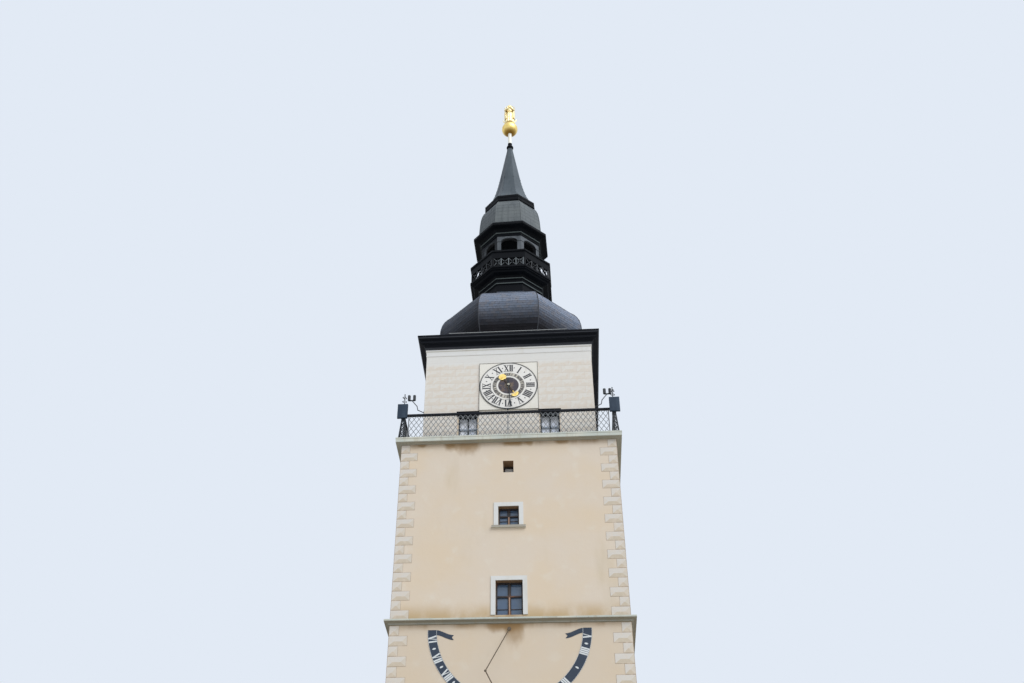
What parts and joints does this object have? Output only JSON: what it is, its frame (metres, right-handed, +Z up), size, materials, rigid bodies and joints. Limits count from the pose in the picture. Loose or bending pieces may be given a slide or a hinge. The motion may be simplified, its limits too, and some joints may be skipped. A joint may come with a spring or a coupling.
{
  "type": "half-size scale model of a town clock tower",
  "caption": "Square plastered town tower at half size with sundial, railed gallery, clock storey, octagonal dome, open lantern, spire and gilded figure.",
  "frame": {"origin": "centre of the underside of the ground floor slab, on the flat foundation face", "axes": "+Z up, the clock front with its sundial faces -Y"},
  "size_m": [4.76, 5.7189, 28.5883],
  "materials": {
    "plaster": "matte painted lime plaster",
    "clock_plaster": "matte painted lime plaster",
    "white_plaster": "matte white plaster",
    "stone": "dressed stone",
    "cornice_stone": "weathered stone",
    "door_wood": "dark oiled",
    "floor_timber": "sawn boards",
    "window_wood": "dark stained",
    "window_glass": "clear",
    "sundial_paint": "matte painted plaster",
    "dark_iron": "dark painted",
    "panel_metal": "dark grey painted",
    "black_metal": "black painted sheet",
    "shingle_metal": "dark shingles",
    "grey_metal": "grey sheet",
    "lantern_plaster": "grey painted",
    "dial_enamel": "white enamel",
    "hand_iron": "black",
    "gilding": "gilded",
    "pole_paint": "pale paint"
  },
  "bodies": {
    "tower": {"ground_floor": "stone", "plinth": "stone", "front_wall": "plaster", "back_wall": "plaster", "left_wall": "plaster", "right_wall": "plaster", "entrance_door": "door_wood", "door_surround": "stone", "storey_floors": "floor_timber", "window_surrounds": "white_plaster", "window_frames": "window_wood", "window_glass": "window_glass", "string_cornice": "cornice_stone", "sundial_band": "sundial_paint", "gnomon": "dark_iron", "gallery_deck": "cornice_stone", "railing_front": "dark_iron", "railing_right": "dark_iron", "railing_back": "dark_iron", "railing_left": "dark_iron", "corner_posts": "dark_iron", "corner_panels": "panel_metal", "spotlights": "dark_iron", "clock_front_wall": "clock_plaster", "clock_back_wall": "clock_plaster", "clock_left_wall": "clock_plaster", "clock_right_wall": "clock_plaster", "gallery_doors": "window_wood", "gallery_door_glass": "window_glass", "frieze": "white_plaster", "eaves_cornice": "black_metal", "clock_panels": "white_plaster", "dials": "dial_enamel", "side_clock_hands": "hand_iron", "dome": "shingle_metal", "lantern_base": "black_metal", "lantern_balustrade": "black_metal", "lantern_arcade": "lantern_plaster", "lantern_cornice": "black_metal", "bell_roof": "grey_metal", "upper_ring": "black_metal", "spire": "grey_metal", "spire_knob": "black_metal", "pole": "pole_paint", "ball": "gilding", "statue": "gilding"},
    "minute_hand": {"minute_hand": "hand_iron"},
    "hour_hand": {"hour_hand": "gilding"}
  },
  "joints": [
    {"name": "minute_turn", "type": "hinge", "parent": "tower", "child": "minute_hand", "pos_m": [0, -1.92, 16.185], "axis": [0, 1, 0], "continuous": true},
    {"name": "hour_turn", "type": "hinge", "parent": "tower", "child": "hour_hand", "pos_m": [0, -1.92, 16.185], "axis": [0, 1, 0], "continuous": true}
  ],
  "couplings": [
    {"joint": "hour_turn", "follows": "minute_turn", "ratio": 0.083333}
  ]
}
